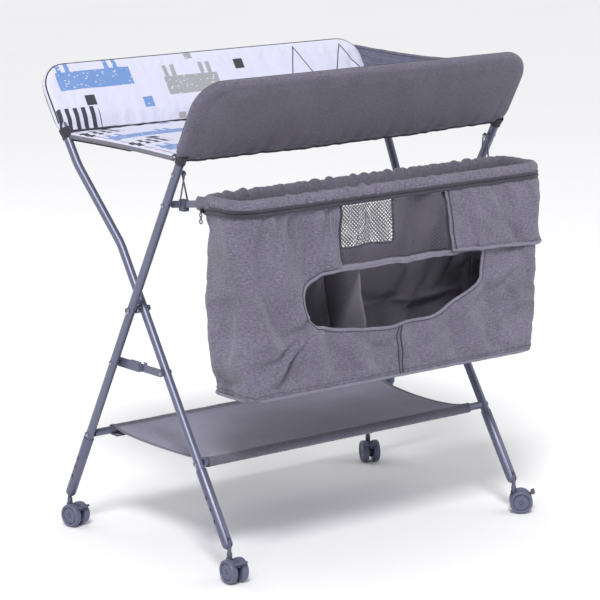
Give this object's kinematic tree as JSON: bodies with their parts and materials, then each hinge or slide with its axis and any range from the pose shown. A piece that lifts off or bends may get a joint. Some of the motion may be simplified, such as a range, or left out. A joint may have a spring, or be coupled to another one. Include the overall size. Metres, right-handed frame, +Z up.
{
  "type": "folding changing table",
  "caption": "Folding changing table on locking casters: crossed tube legs, padded tray with two leaning fabric walls, hanging storage bag and fabric shelf.",
  "frame": {"origin": "on the floor under the middle of the table, where its casters stand", "axes": "+Z up; +X along the tray towards the end that has the fabric end wall; -Y towards the side that has the storage bag"},
  "size_m": [0.8157, 0.6431, 0.9464],
  "materials": {
    "leg_paint": "satin",
    "sleeve_paint": "satin",
    "steel": "satin",
    "caster_plastic": "satin",
    "wheel_plastic": "satin",
    "zip_metal": "satin",
    "mat_cloth": "matte",
    "lining_cloth": "matte",
    "wall_cloth": "matte",
    "shelf_cloth": "matte",
    "bag_cloth": "matte"
  },
  "bodies": {
    "straight_leg_frame": {"straight_leg_left": "leg_paint", "straight_leg_right": "leg_paint", "front_hoop": "leg_paint", "back_cross_tube": "leg_paint", "back_cross_bolt_left": "steel", "back_cross_bolt_right": "steel", "pivot_bolt_left": "steel", "pivot_bolt_right": "steel", "brace_rear_rivet_left": "steel", "brace_rear_rivet_right": "steel", "arm_rivet_left": "steel", "arm_rivet_right": "steel", "bail_rivet_left": "steel", "bail_rivet_right": "steel", "front_wall": "wall_cloth", "changing_mat": "mat_cloth", "end_wall": "wall_cloth", "shelf": "shelf_cloth"},
    "bent_leg_frame": {"bent_leg_left": "leg_paint", "bent_leg_right": "leg_paint", "back_hoop": "leg_paint", "front_cross_tube": "leg_paint", "front_cross_bolt_left": "steel", "front_cross_bolt_right": "steel", "brace_front_rivet_left": "steel", "brace_front_rivet_right": "steel", "back_wall": "lining_cloth"},
    "brace_rear_left": {"brace_rear_link_left": "sleeve_paint"},
    "brace_front_left": {"brace_front_link_left": "sleeve_paint"},
    "brace_rear_right": {"brace_rear_link_right": "sleeve_paint"},
    "brace_front_right": {"brace_front_link_right": "sleeve_paint"},
    "bag_rim": {"bag_rim_frame": "leg_paint", "bag_rim_band": "bag_cloth", "arm_clip_left": "caster_plastic", "arm_clip_right": "caster_plastic", "zip_slider": "zip_metal"},
    "storage_bag": {"storage_bag": "bag_cloth"},
    "zip_pull": {"zip_pull": "zip_metal"},
    "bail_left": {"bail_left": "steel"},
    "bail_right": {"bail_right": "steel"},
    "lower_leg_front_left": {"lower_leg_front_left": "sleeve_paint"},
    "snap_button_front_left": {"snap_button_front_left": "steel"},
    "caster_front_left": {"caster_body_front_left": "caster_plastic"},
    "wheels_front_left": {"caster_wheels_front_left": "wheel_plastic"},
    "brake_front_left": {"caster_brake_front_left": "caster_plastic"},
    "lower_leg_front_right": {"lower_leg_front_right": "sleeve_paint"},
    "snap_button_front_right": {"snap_button_front_right": "steel"},
    "caster_front_right": {"caster_body_front_right": "caster_plastic"},
    "wheels_front_right": {"caster_wheels_front_right": "wheel_plastic"},
    "brake_front_right": {"caster_brake_front_right": "caster_plastic"},
    "lower_leg_back_left": {"lower_leg_back_left": "sleeve_paint"},
    "snap_button_back_left": {"snap_button_back_left": "steel"},
    "caster_back_left": {"caster_body_back_left": "caster_plastic"},
    "wheels_back_left": {"caster_wheels_back_left": "wheel_plastic"},
    "brake_back_left": {"caster_brake_back_left": "caster_plastic"},
    "lower_leg_back_right": {"lower_leg_back_right": "sleeve_paint"},
    "snap_button_back_right": {"snap_button_back_right": "steel"},
    "caster_back_right": {"caster_body_back_right": "caster_plastic"},
    "wheels_back_right": {"caster_wheels_back_right": "wheel_plastic"},
    "brake_back_right": {"caster_brake_back_right": "caster_plastic"}
  },
  "joints": [
    {"name": "frame_fold", "type": "hinge", "parent": "straight_leg_frame", "child": "bent_leg_frame", "pos_m": [0, 0.0176, 0.4806], "axis": [1, 0, 0], "range_deg": [0, 48], "deforming": ["changing_mat", "end_wall", "shelf"]},
    {"name": "brace_rear_hinge_left", "type": "hinge", "parent": "straight_leg_frame", "child": "brace_rear_left", "pos_m": [-0.373, 0.08247, 0.367], "axis": [1, 0, 0], "range_deg": [-47.26, 0]},
    {"name": "brace_front_hinge_left", "type": "hinge", "parent": "bent_leg_frame", "child": "brace_front_left", "pos_m": [-0.373, -0.05476, 0.367], "axis": [1, 0, 0], "range_deg": [0, 57.83]},
    {"name": "brace_rear_hinge_right", "type": "hinge", "parent": "straight_leg_frame", "child": "brace_rear_right", "pos_m": [0.373, 0.08247, 0.367], "axis": [1, 0, 0], "range_deg": [-47.26, 0]},
    {"name": "brace_front_hinge_right", "type": "hinge", "parent": "bent_leg_frame", "child": "brace_front_right", "pos_m": [0.373, -0.05476, 0.367], "axis": [1, 0, 0], "range_deg": [0, 57.83]},
    {"name": "bag_rim_swing", "type": "hinge", "parent": "straight_leg_frame", "child": "bag_rim", "pos_m": [0, -0.10825, 0.701], "axis": [1, 0, 0], "range_deg": [0, 45]},
    {"name": "bag_hang", "type": "hinge", "parent": "bag_rim", "child": "storage_bag", "pos_m": [0, -0.257, 0.7025], "axis": [1, 0, 0], "range_deg": [-45.5, 0.5], "deforming": ["storage_bag"]},
    {"name": "zip_pull_swing", "type": "hinge", "parent": "bag_rim", "child": "zip_pull", "pos_m": [-0.3828, -0.212, 0.6985], "axis": [0, 1, 0], "range_deg": [0, 90]},
    {"name": "bail_swing_left", "type": "hinge", "parent": "straight_leg_frame", "child": "bail_left", "pos_m": [-0.3725, -0.14365, 0.763], "axis": [1, 0, 0], "range_deg": [-25, 0]},
    {"name": "bail_swing_right", "type": "hinge", "parent": "straight_leg_frame", "child": "bail_right", "pos_m": [0.3725, -0.14365, 0.763], "axis": [1, 0, 0], "range_deg": [-25, 0]},
    {"name": "leg_extend_front_left", "type": "slide", "parent": "bent_leg_frame", "child": "lower_leg_front_left", "axis": [0, -0.5373, -0.8434], "range_m": [0, 0.047]},
    {"name": "button_press_front_left", "type": "slide", "parent": "bent_leg_frame", "child": "snap_button_front_left", "axis": [1, 0, 0], "range_m": [0, 0.003], "stiffness_N_per_m": 400, "springref_m": -0.001},
    {"name": "caster_swivel_front_left", "type": "hinge", "parent": "lower_leg_front_left", "child": "caster_front_left", "pos_m": [-0.359, -0.25032, 0.06], "axis": [0, 0, 1], "continuous": true},
    {"name": "wheel_spin_front_left", "type": "hinge", "parent": "caster_front_left", "child": "wheels_front_left", "pos_m": [-0.3596, -0.26531, 0.0235], "axis": [0.9992, -0.0401, 0], "continuous": true},
    {"name": "brake_press_front_left", "type": "hinge", "parent": "caster_front_left", "child": "brake_front_left", "pos_m": [-0.35968, -0.26719, 0.0414], "axis": [0.9992, -0.0401, 0], "range_deg": [0, 8]},
    {"name": "leg_extend_front_right", "type": "slide", "parent": "bent_leg_frame", "child": "lower_leg_front_right", "axis": [0, -0.5373, -0.8434], "range_m": [0, 0.047]},
    {"name": "button_press_front_right", "type": "slide", "parent": "bent_leg_frame", "child": "snap_button_front_right", "axis": [-1, 0, 0], "range_m": [0, 0.003], "stiffness_N_per_m": 400, "springref_m": -0.001},
    {"name": "caster_swivel_front_right", "type": "hinge", "parent": "lower_leg_front_right", "child": "caster_front_right", "pos_m": [0.359, -0.25032, 0.06], "axis": [0, 0, 1], "continuous": true},
    {"name": "wheel_spin_front_right", "type": "hinge", "parent": "caster_front_right", "child": "wheels_front_right", "pos_m": [0.37061, -0.25982, 0.0235], "axis": [0.6334, 0.7738, 0], "continuous": true},
    {"name": "brake_press_front_right", "type": "hinge", "parent": "caster_front_right", "child": "brake_front_right", "pos_m": [0.37206, -0.26101, 0.0414], "axis": [0.6334, 0.7738, 0], "range_deg": [0, 8]},
    {"name": "leg_extend_back_left", "type": "slide", "parent": "straight_leg_frame", "child": "lower_leg_back_left", "axis": [0, 0.4959, -0.8684], "range_m": [0, 0.047]},
    {"name": "button_press_back_left", "type": "slide", "parent": "straight_leg_frame", "child": "snap_button_back_left", "axis": [1, 0, 0], "range_m": [0, 0.003], "stiffness_N_per_m": 400, "springref_m": -0.001},
    {"name": "caster_swivel_back_left", "type": "hinge", "parent": "lower_leg_back_left", "child": "caster_back_left", "pos_m": [-0.388, 0.25776, 0.06], "axis": [0, 0, 1], "continuous": true},
    {"name": "wheel_spin_back_left", "type": "hinge", "parent": "caster_back_left", "child": "wheels_back_left", "pos_m": [-0.38488, 0.24309, 0.0235], "axis": [0.9781, 0.2079, 0], "continuous": true},
    {"name": "brake_press_back_left", "type": "hinge", "parent": "caster_back_left", "child": "brake_back_left", "pos_m": [-0.38449, 0.24125, 0.0414], "axis": [0.9781, 0.2079, 0], "range_deg": [0, 8]},
    {"name": "leg_extend_back_right", "type": "slide", "parent": "straight_leg_frame", "child": "lower_leg_back_right", "axis": [0, 0.4959, -0.8684], "range_m": [0, 0.047]},
    {"name": "button_press_back_right", "type": "slide", "parent": "straight_leg_frame", "child": "snap_button_back_right", "axis": [-1, 0, 0], "range_m": [0, 0.003], "stiffness_N_per_m": 400, "springref_m": -0.001},
    {"name": "caster_swivel_back_right", "type": "hinge", "parent": "lower_leg_back_right", "child": "caster_back_right", "pos_m": [0.388, 0.25776, 0.06], "axis": [0, 0, 1], "continuous": true},
    {"name": "wheel_spin_back_right", "type": "hinge", "parent": "caster_back_right", "child": "wheels_back_right", "pos_m": [0.38166, 0.24417, 0.0235], "axis": [0.9063, -0.4226, 0], "continuous": true},
    {"name": "brake_press_back_right", "type": "hinge", "parent": "caster_back_right", "child": "brake_back_right", "pos_m": [0.38087, 0.24246, 0.0414], "axis": [0.9063, -0.4226, 0], "range_deg": [0, 8]}
  ],
  "couplings": [
    {"joint": "brace_rear_hinge_left", "follows": "frame_fold", "ratio": -0.97412},
    {"joint": "brace_front_hinge_left", "follows": "frame_fold", "ratio": 1.1944},
    {"joint": "brace_rear_hinge_right", "follows": "frame_fold", "ratio": -0.97412},
    {"joint": "brace_front_hinge_right", "follows": "frame_fold", "ratio": 1.1944},
    {"joint": "bag_hang", "follows": "bag_rim_swing", "ratio": -1}
  ]
}
